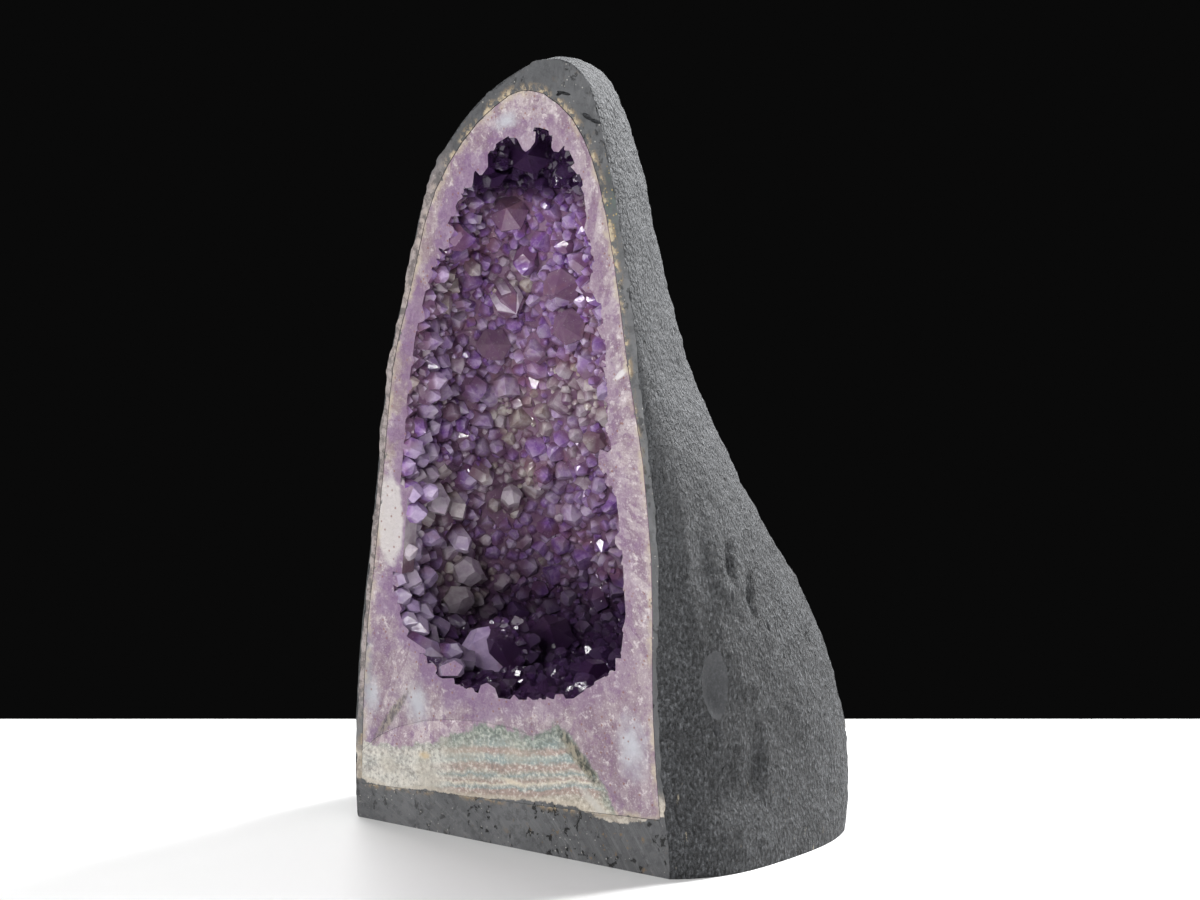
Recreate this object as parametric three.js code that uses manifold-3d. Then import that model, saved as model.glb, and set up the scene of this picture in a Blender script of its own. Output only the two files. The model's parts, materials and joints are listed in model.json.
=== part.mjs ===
// A standing amethyst geode: one volcanic nodule, sawn open lengthwise and sawn level at the foot.
// Millimetres, +Z up, +X to the right along the sawn face, which looks towards -Y. From the outside
// in it is a dark rock rind, a lens of banded agate at the foot, and a quartz wall whose amethyst
// points line the hollow. The crystals grew together with their wall, so they are one solid.
import * as THREE from "three";
import { mergeVertices } from "three/addons/utils/BufferGeometryUtils.js";
import Module from "manifold-3d";

const wasm = await Module();
wasm.setup();

// Bodies are given at stations, from under the foot to the crown. left and right are [x, z] where the
// outline meets the saw cut, depth is how far the body reaches behind the cut, bulge is how much wider
// it grows behind the cut, and lean is how far it drifts towards -X for each millimetre of depth.
const NODULE = [
  { left: [0, -52], right: [0, -52], depth: 60, bulge: 0.1, lean: 0 },
  { left: [-96, -24], right: [96, -24], depth: 162, bulge: 0.17, lean: -0.02 },
  { left: [-106, 0], right: [106, 0], depth: 184, bulge: 0.2, lean: -0.02 },
  { left: [-106, 50], right: [101, 50], depth: 191, bulge: 0.215, lean: -0.02 },
  { left: [-102, 100], right: [98, 100], depth: 178, bulge: 0.2, lean: 0 },
  { left: [-94, 155], right: [98, 155], depth: 136, bulge: 0.14, lean: 0.04 },
  { left: [-87, 205], right: [93, 205], depth: 105, bulge: 0.09, lean: 0.12 },
  { left: [-80, 248], right: [86, 250], depth: 86, bulge: 0.07, lean: 0.22 },
  { left: [-68, 287], right: [79, 295], depth: 71, bulge: 0.05, lean: 0.3 },
  { left: [-54, 335], right: [70, 340], depth: 60, bulge: 0.045, lean: 0.28 },
  { left: [-33, 367], right: [61, 373], depth: 50, bulge: 0.04, lean: 0.26 },
  { left: [-5, 390], right: [53, 393], depth: 38, bulge: 0.03, lean: 0.25 },
  { left: [31, 404], right: [31, 404], depth: 24, bulge: 0.03, lean: 0.25 },
];

// What the rock is wrapped round: the quartz and the agate together, one station for each of the
// nodule's. The rock is thin down both flanks of the cut, and thick behind it and over the crown.
const FILLING = [
  { left: [0, -45], right: [0, -45], depth: 50, bulge: 0.08, lean: 0 },
  { left: [-93, -24], right: [93, -24], depth: 152, bulge: 0.13, lean: -0.02 },
  { left: [-102, 0], right: [102, 0], depth: 174, bulge: 0.15, lean: -0.02 },
  { left: [-102, 50], right: [97, 50], depth: 181, bulge: 0.16, lean: -0.02 },
  { left: [-98, 100], right: [94, 100], depth: 168, bulge: 0.15, lean: 0 },
  { left: [-90, 155], right: [94, 155], depth: 127, bulge: 0.1, lean: 0.04 },
  { left: [-83, 205], right: [88, 205], depth: 96, bulge: 0.06, lean: 0.12 },
  { left: [-77, 246], right: [80, 248], depth: 77, bulge: 0.04, lean: 0.22 },
  { left: [-65, 283], right: [73, 290], depth: 62, bulge: 0.02, lean: 0.3 },
  { left: [-51, 328], right: [63, 335], depth: 51, bulge: 0.02, lean: 0.28 },
  { left: [-32, 357], right: [52, 362], depth: 41, bulge: 0.02, lean: 0.26 },
  { left: [-10, 377], right: [37, 379], depth: 30, bulge: 0.02, lean: 0.25 },
  { left: [14, 388], right: [14, 388], depth: 18, bulge: 0.02, lean: 0.25 },
];

// The hollow narrows to a throat under the crown.
const HOLLOW = [
  { left: [-10, 74], right: [-10, 74], depth: 40, bulge: 0.06, lean: 0 },
  { left: [-62, 92], right: [66, 92], depth: 128, bulge: 0.1, lean: 0 },
  { left: [-81, 130], right: [79, 130], depth: 122, bulge: 0.1, lean: 0.02 },
  { left: [-74, 178], right: [74, 178], depth: 96, bulge: 0.08, lean: 0.08 },
  { left: [-68, 228], right: [66, 228], depth: 76, bulge: 0.06, lean: 0.18 },
  { left: [-58, 276], right: [64, 276], depth: 58, bulge: 0.05, lean: 0.25 },
  { left: [-40, 318], right: [54, 318], depth: 45, bulge: 0.05, lean: 0.25 },
  { left: [-18, 350], right: [46, 354], depth: 37, bulge: 0.05, lean: 0.2 },
  { left: [18, 374], right: [18, 374], depth: 24, bulge: 0.05, lean: 0.1 },
];

const SQUARENESS = 2.8; // exponent of the superelliptic sections: 2 is round, 4 is nearly square
const WIDEST_AT = 0.3; // share of the depth at which a section is widest
const NODULE_FACETS = { around: 32, along: 26 };
const HOLLOW_FACETS = { around: 16, along: 12 };

const ROCK_FLOOR = 24; // height of the rock under the agate, at mid-width
const ROCK_FLOOR_RISE = 0.05; // how much that floor climbs for each millimetre towards +X
const GAP = 0.3; // clearance between neighbouring solids

const AGATE = { x: -18, z: 21, halfWidth: 92, halfDepth: 80, height: 42, tilt: -0.02 };
const AGATE_FACETS = { around: 28, along: 14 };

// Crystals are six-sided: radius is to a corner, shaft and tip are lengths in radii.
const ROOT = 9; // how deep a crystal starts inside its wall
const POINT_RADIUS = [7, 12]; // the lesser points of the druse
const CROWDING = 1.28; // how near two points may stand, as a share of their radii together
const SCATTER = 5000; // spots tried while the wall fills up
const STRAY = 0.35; // how far a point may lean away from its wall's normal
const DRUSE_HEIGHTS = [0.02, 0.98]; // shares of the hollow's height that carry lesser points
const DRUSE_ROUND = [-0.12, 1.12]; // and half turns round it, a little past the cut on both sides

// The great points, by share of the hollow's height, degrees round it (0 is +X, 90 is the back),
// radius, and the way each one grows.
const GREAT_POINTS = [
  { height: 0.09, round: 165, radius: 17, shaft: 0.9, towards: [0.45, -0.72, 0.5] },
  { height: 0.1, round: 140, radius: 14, shaft: 0.8, towards: [0.5, -0.6, 0.6] },
  { height: 0.593, round: 88, radius: 10, shaft: 0.8, towards: [0.3, -0.95, 0.1] },
  { height: 0.561, round: 127, radius: 9.5, shaft: 0.8, towards: [0.6, -0.8, 0.1] },
  { height: 0.762, round: 120, radius: 10.5, shaft: 0.7, towards: [0.5, -0.8, 0.3] },
  { height: 0.9, round: 125, radius: 12, shaft: 0.5, towards: [0.5, -0.8, -0.1] },
  { height: 0.657, round: 89, radius: 11, shaft: 0.6, towards: [0.3, -0.9, -0.3] },
  { height: 0.641, round: 120, radius: 8.5, shaft: 1.6, towards: [0.75, -0.35, -0.5] },
];

const HALF_SPACE = 1000; // side of the boxes that stand for the saw cuts

// --- from three.js geometry to solids and back ------------------------------------------------

function solid(geometry) {
  const bare = geometry.clone().deleteAttribute("normal").deleteAttribute("uv");
  const merged = mergeVertices(bare, 1e-4);
  const mesh = new wasm.Mesh({
    numProp: 3,
    vertProperties: merged.attributes.position.array,
    triVerts: new Uint32Array(merged.index.array),
  });
  return new wasm.Manifold(mesh);
}

function geometryOf(manifold) {
  const { vertProperties, triVerts } = manifold.getMesh();
  const geometry = new THREE.BufferGeometry()
    .setAttribute("position", new THREE.BufferAttribute(vertProperties, 3))
    .setIndex(new THREE.BufferAttribute(triVerts, 1));
  geometry.computeVertexNormals();
  return geometry;
}

function halfSpaceBox() {
  return new THREE.BoxGeometry(HALF_SPACE, HALF_SPACE, HALF_SPACE);
}

function between([low, high], share) {
  return low + (high - low) * share;
}

// Repeatable numbers between 0 and 1, so that the druse is the same each time.
let seed = 7;
function chance() {
  seed = (seed * 16807) % 2147483647;
  return seed / 2147483647;
}

// --- rounded bodies through stations ----------------------------------------------------------

// The outline is one closed curve of [x, z, depth]: up the right side, over the top, down the left.
function bodyThrough(stations) {
  const up = stations.map(({ right, depth }) => new THREE.Vector3(...right, depth));
  const down = stations.map(({ left, depth }) => new THREE.Vector3(...left, depth));
  const outline = [...up, ...down.slice(1, -1).reverse()];
  return { outline: new THREE.CatmullRomCurve3(outline, true, "catmullrom"), stations };
}

// bulge or lean at share s of the height, straight between stations.
function along({ stations }, name, s) {
  const place = THREE.MathUtils.clamp(s, 0, 1) * (stations.length - 1);
  const below = Math.min(Math.floor(place), stations.length - 2);
  return between([stations[below][name], stations[below + 1][name]], place - below);
}

function squared(value) {
  return Math.sign(value) * Math.abs(value) ** (2 / SQUARENESS);
}

// The point of a body at share s of its height and angle a round it: 0 is +X, a right angle is back.
function bodyPoint(body, s, a) {
  const right = body.outline.getPoint(s / 2);
  const left = body.outline.getPoint(1 - s / 2);
  const depth = (right.z + left.z) / 2;
  const bulge = along(body, "bulge", s);
  const across = squared(Math.cos(a)) * (1 + bulge);
  const inwards = squared(Math.sin(a));
  const widestAt = WIDEST_AT * depth;
  const cutShare = (1 - (1 / (1 + bulge)) ** SQUARENESS) ** (1 / SQUARENESS);
  const reach = inwards > 0 ? depth - widestAt : widestAt / cutShare;
  const y = widestAt + reach * inwards;
  const x = (left.x + right.x) / 2 + ((right.x - left.x) / 2) * across;
  const slope = THREE.MathUtils.clamp(across, -1, 1);
  const z = (left.y + right.y) / 2 + ((right.y - left.y) / 2) * slope;
  return new THREE.Vector3(x - along(body, "lean", s) * Math.max(y, 0), y, z);
}

// A sphere whose every vertex is carried to its place on the body.
function bodySolid(body, facets) {
  const geometry = new THREE.SphereGeometry(1, facets.around, facets.along);
  const position = geometry.attributes.position;
  const vertex = new THREE.Vector3();
  for (let i = 0; i < position.count; i++) {
    vertex.fromBufferAttribute(position, i);
    const s = 1 - Math.acos(THREE.MathUtils.clamp(vertex.y, -1, 1)) / Math.PI;
    const place = bodyPoint(body, s, Math.atan2(-vertex.z, vertex.x));
    position.setXYZ(i, place.x, place.y, place.z);
  }
  return solid(geometry);
}

// --- rock rind --------------------------------------------------------------------------------

const behindCut = solid(halfSpaceBox().translate(0, HALF_SPACE / 2, 0));
const aboveFoot = solid(halfSpaceBox().translate(0, 0, HALF_SPACE / 2));

function aboveRockFloor(clearance) {
  const box = halfSpaceBox().translate(0, 0, HALF_SPACE / 2).rotateY(-Math.atan(ROCK_FLOOR_RISE));
  return solid(box.translate(0, 0, ROCK_FLOOR + clearance));
}

// The filling, drawn in all round by a clearance.
function filling(clearance) {
  const crown = FILLING.at(-1).left[1];
  const lowering = (crown - clearance) / crown;
  const drawnIn = FILLING.map(({ left, right, depth, bulge, lean }, i) => {
    const isPole = i === 0 || i === FILLING.length - 1;
    const side = isPole ? 0 : clearance;
    return {
      left: [left[0] + side, left[1] * lowering],
      right: [right[0] - side, right[1] * lowering],
      depth: depth - clearance,
      bulge,
      lean,
    };
  });
  return bodySolid(bodyThrough(drawnIn), NODULE_FACETS).intersect(aboveRockFloor(clearance));
}

function basaltRind() {
  const nodule = bodySolid(bodyThrough(NODULE), NODULE_FACETS);
  return nodule.intersect(behindCut).intersect(aboveFoot).subtract(filling(-GAP));
}

// --- banded agate -----------------------------------------------------------------------------

// A shallow lens on the rock floor, cut through by the saw.
function agateLens(clearance) {
  const lens = new THREE.SphereGeometry(1, AGATE_FACETS.around, AGATE_FACETS.along)
    .rotateX(Math.PI / 2)
    .scale(AGATE.halfWidth + clearance, AGATE.halfDepth + clearance, AGATE.height + clearance)
    .rotateY(AGATE.tilt)
    .translate(AGATE.x, 0, AGATE.z);
  return solid(lens);
}

function bandedAgate() {
  return filling(0).intersect(behindCut).intersect(agateLens(0));
}

// --- quartz wall and its crystals -------------------------------------------------------------

// A six-sided crystal: root inside the wall, shaft, and a pyramid for a tip.
function crystal({ at, towards, radius, shaft, tip, turn }) {
  const profile = [
    new THREE.Vector2(0, -ROOT),
    new THREE.Vector2(radius, -ROOT),
    new THREE.Vector2(radius, shaft * radius),
    new THREE.Vector2(0, (shaft + tip) * radius),
  ];
  const upwards = new THREE.Vector3(0, 1, 0);
  const aim = new THREE.Quaternion().setFromUnitVectors(upwards, towards.clone().normalize());
  const geometry = new THREE.LatheGeometry(profile, 6).rotateY(turn).applyQuaternion(aim);
  return solid(geometry.translate(at.x, at.y, at.z));
}

// A spot on the hollow's wall and the way that a crystal grows from it, into the open.
function wallSpot(hollow, s, a) {
  const step = 0.01;
  const at = bodyPoint(hollow, s, a);
  const round = bodyPoint(hollow, s, a + step).sub(bodyPoint(hollow, s, a - step));
  const up = bodyPoint(hollow, s + step, a).sub(bodyPoint(hollow, s - step, a));
  return { at, towards: up.cross(round).normalize() };
}

// Spots are tried at random and kept where no earlier crystal stands too near.
function druse(hollow) {
  const points = GREAT_POINTS.map(({ height, round, radius, shaft, towards }) => ({
    at: wallSpot(hollow, height, THREE.MathUtils.degToRad(round)).at,
    towards: new THREE.Vector3(...towards),
    radius,
    shaft,
    tip: 0.9,
    turn: chance(),
  }));
  for (let i = 0; i < SCATTER; i++) {
    const height = between(DRUSE_HEIGHTS, chance());
    const spot = wallSpot(hollow, height, Math.PI * between(DRUSE_ROUND, chance()));
    const radius = between(POINT_RADIUS, chance() ** 2);
    const isFree = points.every((other) => {
      return other.at.distanceTo(spot.at) > CROWDING * (other.radius + radius);
    });
    if (!isFree) continue;
    const stray = new THREE.Vector3(chance() - 0.5, chance() - 0.5, chance() - 0.5);
    points.push({
      at: spot.at,
      towards: spot.towards.addScaledVector(stray, 2 * STRAY),
      radius,
      shaft: between([0, 0.5], chance()),
      tip: between([0.8, 1.1], chance()),
      turn: chance(),
    });
  }
  return wasm.Manifold.union(points.map(crystal));
}

function amethystDruse() {
  const hollow = bodyThrough(HOLLOW);
  const enclosed = filling(0).intersect(behindCut);
  const wall = enclosed.subtract(bodySolid(hollow, HOLLOW_FACETS));
  return wall.add(druse(hollow).intersect(enclosed)).subtract(agateLens(GAP));
}

// --- the geode --------------------------------------------------------------------------------

const geode = new THREE.Group();

function place(name, manifold, color, roughness) {
  const material = new THREE.MeshStandardMaterial({ color, roughness, metalness: 0 });
  const mesh = new THREE.Mesh(geometryOf(manifold), material);
  mesh.name = name;
  geode.add(mesh);
  return mesh;
}

const rind = place("basalt_rind", basaltRind(), 0x4a4d50, 0.85);
place("banded_agate", bandedAgate(), 0xa7a294, 0.45);
place("amethyst_druse", amethystDruse(), 0x8a6bab, 0.2);

// The origin is the middle of the rind's box, on the ground.
const box = new THREE.Box3().setFromObject(rind);
geode.position.set(-(box.min.x + box.max.x) / 2, -(box.min.y + box.max.y) / 2, 0);

export default geode;
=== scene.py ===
import json
import math
import random

import bpy
import numpy as np
from mathutils import Matrix, Vector, noise
from mathutils.bvhtree import BVHTree
from mathutils.kdtree import KDTree

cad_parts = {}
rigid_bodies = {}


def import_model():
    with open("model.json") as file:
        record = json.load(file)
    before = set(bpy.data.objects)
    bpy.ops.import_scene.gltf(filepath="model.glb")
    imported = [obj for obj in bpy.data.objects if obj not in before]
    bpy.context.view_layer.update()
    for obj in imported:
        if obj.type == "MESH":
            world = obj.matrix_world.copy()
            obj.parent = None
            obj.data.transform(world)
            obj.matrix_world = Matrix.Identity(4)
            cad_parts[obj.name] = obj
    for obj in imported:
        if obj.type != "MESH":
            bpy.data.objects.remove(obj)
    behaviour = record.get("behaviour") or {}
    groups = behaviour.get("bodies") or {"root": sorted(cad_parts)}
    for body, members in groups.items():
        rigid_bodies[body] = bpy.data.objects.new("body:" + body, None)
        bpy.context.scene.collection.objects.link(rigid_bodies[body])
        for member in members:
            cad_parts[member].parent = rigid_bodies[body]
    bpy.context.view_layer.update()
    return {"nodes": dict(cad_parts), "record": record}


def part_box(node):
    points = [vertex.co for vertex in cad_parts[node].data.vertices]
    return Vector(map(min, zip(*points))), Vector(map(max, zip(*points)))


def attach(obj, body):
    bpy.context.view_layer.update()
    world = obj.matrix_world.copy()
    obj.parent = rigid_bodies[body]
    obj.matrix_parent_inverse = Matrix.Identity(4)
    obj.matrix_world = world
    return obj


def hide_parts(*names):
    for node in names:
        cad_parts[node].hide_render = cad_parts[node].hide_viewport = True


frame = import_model()

# --- the rock rind ----------------------------------------------------------------------------
# Weathered basalt, the rock that the gas bubble froze in. Its outside is the natural granular
# skin of the nodule. The front and the foot are saw cuts, ground smooth.

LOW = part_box("basalt_rind")[0]
CUT = LOW.y  # the plane of the saw cut
ON_PLANE = 2e-5
MERGE = 1e-6
FAR = 0.05  # what is held as a distance where none is needed
# Points up the middle of the hollow, at the middles of its openings.
MIDLINE = [
    (Vector(low) + Vector(high)) / 2
    for low, high in (o["box_m"] for o in frame["record"]["physics"]["openings"])
]


def deselect():
    for each in bpy.context.selected_objects:
        each.select_set(False)


def pick(piece):
    deselect()
    piece.select_set(True)
    bpy.context.view_layer.objects.active = piece


def copy_of(node, name):
    """A CAD node's shape as a new piece, its loose triangles merged."""
    piece = bpy.data.objects.new(name, frame["nodes"][node].data.copy())
    bpy.context.scene.collection.objects.link(piece)
    piece.data.name = name
    piece.data.materials.clear()
    pick(piece)
    bpy.ops.object.mode_set(mode="EDIT")
    bpy.ops.mesh.select_all(action="SELECT")
    bpy.ops.mesh.remove_doubles(threshold=MERGE)
    bpy.ops.mesh.customdata_custom_splitnormals_clear()
    bpy.ops.object.mode_set(mode="OBJECT")
    return piece


def select_faces(piece, wanted):
    """Leaves the piece in edit mode with only the faces selected for which wanted(face) holds."""
    pick(piece)
    bpy.ops.object.mode_set(mode="EDIT")
    bpy.ops.mesh.select_mode(type="FACE")
    bpy.ops.mesh.select_all(action="DESELECT")
    bpy.ops.object.mode_set(mode="OBJECT")
    for face in piece.data.polygons:
        face.select = wanted(face)
    bpy.ops.object.mode_set(mode="EDIT")


def apply_modifiers(piece):
    pick(piece)
    for modifier in list(piece.modifiers):
        bpy.ops.object.modifier_apply(modifier=modifier.name)


def combine(piece, operation, *others):
    """Joins the other objects to a piece, cuts them out of it or keeps what they share."""
    for other in others:
        step = piece.modifiers.new("combine", "BOOLEAN")
        step.operation = operation
        step.solver = "MANIFOLD"
        step.object = other
    apply_modifiers(piece)


def off_midline(place):
    """From the nearest point of the hollow's middle line to a place."""
    return min((place - point for point in MIDLINE), key=lambda line: line.length)


def on_cut(face):
    return face.normal.y < -0.99 and abs(face.center.y - CUT) < ON_PLANE


def on_foot(face):
    return face.normal.z < -0.99 and abs(face.center.z - LOW.z) < ON_PLANE


def faces_midline(face):
    return not on_cut(face) and face.normal.dot(off_midline(face.center)) < 0


def surface_of(node):
    mesh = frame["nodes"][node].data
    return BVHTree.FromPolygons([v.co for v in mesh.vertices], [p.vertices for p in mesh.polygons])


# The skin and the lining of the rind are parted, so that only the skin is made fine.
rind = copy_of("basalt_rind", "rock_rind")
select_faces(rind, faces_midline)
bpy.ops.mesh.separate(type="SELECTED")
bpy.ops.object.mode_set(mode="OBJECT")
lining = next(o for o in bpy.context.selected_objects if o is not rind)


def cap_open_edge(piece):
    """Closes the opening in the saw cut with one face, and leaves the piece in edit mode."""
    pick(piece)
    bpy.ops.object.mode_set(mode="EDIT")
    bpy.ops.mesh.select_mode(type="EDGE")
    bpy.ops.mesh.select_all(action="DESELECT")
    bpy.ops.mesh.select_non_manifold()
    bpy.ops.mesh.edge_face_add()
    bpy.ops.mesh.select_mode(type="FACE")


# The lining is drawn out past the cut, to be a plug of all that fills the rind.
PLUG_PAST_CUT = 0.01
cap_open_edge(lining)
bpy.ops.mesh.extrude_region_move(TRANSFORM_OT_translate={"value": (0, -PLUG_PAST_CUT, 0)})
bpy.ops.mesh.select_all(action="SELECT")
bpy.ops.mesh.normals_make_consistent(inside=False)
bpy.ops.object.mode_set(mode="OBJECT")

# The flat cut and foot become few faces, and their outlines stay crisp when the skin is smoothed.
cap_open_edge(rind)
bpy.ops.mesh.select_all(action="SELECT")
bpy.ops.mesh.dissolve_limited(angle_limit=math.radians(0.5))
bpy.ops.mesh.tris_convert_to_quads(face_threshold=math.radians(60), shape_threshold=math.radians(60))
bpy.ops.mesh.select_mode(type="EDGE")
bpy.ops.mesh.select_all(action="DESELECT")
bpy.ops.mesh.edges_select_sharp(sharpness=math.radians(35))
bpy.ops.transform.edge_crease(value=1)
bpy.ops.object.mode_set(mode="OBJECT")

smooth = rind.modifiers.new("skin", "SUBSURF")
smooth.levels = smooth.render_levels = 2
smooth.boundary_smooth = "PRESERVE_CORNERS"
apply_modifiers(rind)


def is_skin(face):
    return not on_cut(face) and not on_foot(face)


select_faces(rind, is_skin)
bpy.ops.mesh.subdivide(number_cuts=2, smoothness=0, quadcorner="INNERVERT")
bpy.ops.object.mode_set(mode="OBJECT")

# The relief is all on the skin, and least by the saw cut, where the rind is thin.
FULL_RELIEF = 0.035  # how far behind the cut the skin is at its roughest
FOOT_RELIEF = 0.01  # and how far above the foot
LEAST_RELIEF = 0.12
skin = rind.vertex_groups.new(name="skin")
for vertex in rind.data.vertices:
    behind = vertex.co.y - CUT
    if behind > ON_PLANE and vertex.co.z > ON_PLANE:
        share = min(behind / FULL_RELIEF, vertex.co.z / FOOT_RELIEF)
        share = min(1, LEAST_RELIEF + share)
        skin.add([vertex.index], share, "REPLACE")


def relief(name, kind, size, height, stretch=(1, 1, 1), turn=(0, 0, 0), **settings):
    """Raises and lowers the skin by height in all, in lumps of a size, drawn out along an axis."""
    texture = bpy.data.textures.new(name, kind)
    texture.noise_scale = size
    for key, value in settings.items():
        setattr(texture, key, value)
    bpy.ops.object.empty_add(rotation=turn, scale=stretch)
    grain = bpy.context.object
    raised = rind.modifiers.new(name, "DISPLACE")
    raised.texture = texture
    raised.texture_coords = "OBJECT"
    raised.texture_coords_object = grain
    raised.strength = height
    raised.mid_level = 0.5
    raised.vertex_group = "skin"
    apply_modifiers(rind)
    bpy.data.objects.remove(grain)


FLOW = (math.radians(-14), 0, 0)  # the skin's streaks lean back up the nodule
relief("swell", "CLOUDS", 0.07, 0.005, noise_depth=1)
relief("lumps", "CLOUDS", 0.016, 0.0024, (1, 1, 2.0), FLOW, noise_depth=2)
relief("streaks", "CLOUDS", 0.0038, 0.0013, (1, 1, 1.9), FLOW, noise_depth=1)

# The saw breaks small chips off the outline of the cut, and knocks larger steps out of the thin
# left edge: how far in or out, and how many to the metre.
CHIP, CHIPS = 0.0011, 90
STEP, STEPS = 0.0026, 38
ABOVE_FOOT = 0.004  # the outline of the foot stays straight
for vertex in rind.data.vertices:
    if abs(vertex.co.y - CUT) < ON_PLANE and vertex.co.z > ABOVE_FOOT:
        outwards = off_midline(vertex.co)
        outwards.y = 0
        wobble = CHIP * noise.fractal(vertex.co * CHIPS, 0.6, 2.2, 4)
        if vertex.co.x < 0:
            wobble += STEP * max(-0.3, noise.fractal(vertex.co * STEPS, 0.7, 2.2, 3))
        vertex.co += outwards.normalized() * wobble


def on_flank(y, z):
    """The skin's place and normal on the right flank."""
    return rind.ray_cast(Vector((1, y, z)), Vector((-1, 0, 0)))[1:3]


def press(y, z, radius, depth, squeeze=(1, 1, 1)):
    """A soft dent: the skin within a radius of a place sinks. A squeeze above 1 narrows it."""
    middle, normal = on_flank(y, z)
    for vertex in rind.data.vertices:
        away = vertex.co - middle
        reach = Vector((away.x * squeeze[0], away.y * squeeze[1], away.z * squeeze[2])).length / radius
        if reach < 1 and vertex.co.y > CUT + ON_PLANE and vertex.co.z > ON_PLANE:
            vertex.co -= normal * depth * (1 - reach * reach) ** 2
    rind.data.update()


# Long upright dents first, then a small pit, then broad and shallow ones.
press(CUT + 0.043, 0.152, 0.014, 0.0028, (1, 2.8, 0.8))
press(CUT + 0.058, 0.136, 0.013, 0.0028, (1, 2.8, 0.8))
press(CUT + 0.024, 0.15, 0.036, 0.002, (1, 3.2, 0.7))
press(CUT + 0.05, 0.055, 0.022, 0.0026, (1, 2.0, 0.8))
press(CUT + 0.11, 0.105, 0.009, 0.0024)
press(CUT + 0.03, 0.043, 0.034, 0.0026, (1, 1, 1.5))
press(CUT + 0.075, 0.06, 0.03, 0.002, (1, 1, 1.3))
press(CUT + 0.09, 0.19, 0.02, 0.0018, (1, 1, 0.6))


def ball(at, radii, turn):
    """What is taken away, marked so that the rock it bares is known as fresh."""
    bpy.ops.mesh.primitive_uv_sphere_add(
        segments=40, ring_count=20, location=at, scale=radii, rotation=turn
    )
    bpy.ops.object.transform_apply(location=True, rotation=True, scale=True)
    mesh = bpy.context.object.data
    mesh.attributes.new("fresh", "FLOAT", "FACE").data.foreach_set("value", [1] * len(mesh.polygons))
    return bpy.context.object


def flake_off(y, z, radii, depth):
    """A crisp dish on the right flank, where a flake has come away."""
    at, normal = on_flank(y, z)
    turn = normal.to_track_quat("X", "Z").to_euler()
    return ball(at + normal * (radii[0] - depth), radii, turn)


# A lens-shaped scar, a nick under it, two slots behind, and crevices along the top of the cut.
taken = [
    flake_off(CUT + 0.026, 0.091, (0.013, 0.0138, 0.027), 0.0027),
    flake_off(CUT + 0.0245, 0.0725, (0.0022, 0.0019, 0.003), 0.0016),
    flake_off(CUT + 0.041, 0.137, (0.002, 0.0012, 0.0036), 0.0014),
    flake_off(CUT + 0.07, 0.118, (0.002, 0.0012, 0.003), 0.0013),
    ball((0.0375, CUT, 0.3862), (0.0044, 0.003, 0.0008), (0, math.radians(10), 0)),
    ball((0.0345, CUT, 0.3858), (0.002, 0.003, 0.0009), (0, math.radians(-20), 0)),
    ball((0.0525, CUT, 0.3748), (0.0034, 0.003, 0.0013), (0, math.radians(24), 0)),
    ball((0.0575, CUT, 0.3726), (0.0034, 0.003, 0.001), (0, math.radians(14), 0)),
]
combine(rind, "DIFFERENCE", *taken, lining)  # the filling comes out too
for each in taken:
    bpy.data.objects.remove(each)


class Reading:
    """A number, colour or vector that a node gives over a surface, for use in plain sums."""

    def __init__(self, finish, socket):
        self.finish, self.socket = finish, socket

    def sum(self, operation, *values):
        return self.finish.node("Math", {"operation": operation}, dict(enumerate(values)))

    def __add__(self, other):
        return self.sum("ADD", self, other)

    def __sub__(self, other):
        return self.sum("SUBTRACT", self, other)

    def __rsub__(self, other):
        return self.sum("SUBTRACT", other, self)

    def __mul__(self, other):
        return self.sum("MULTIPLY", self, other)

    def __truediv__(self, other):
        return self.sum("DIVIDE", self, other)

    __radd__, __rmul__ = __add__, __mul__

    def angle_over(self, other):
        return self.sum("ARCTAN2", self, other)

    def over(self, low, high):
        """0 below low, 1 above high, and smooth between them; low may be the greater."""
        ends = {"Value": self, "From Min": low, "From Max": high}
        return self.finish.node("MapRange", {"interpolation_type": "SMOOTHSTEP"}, ends)


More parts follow.
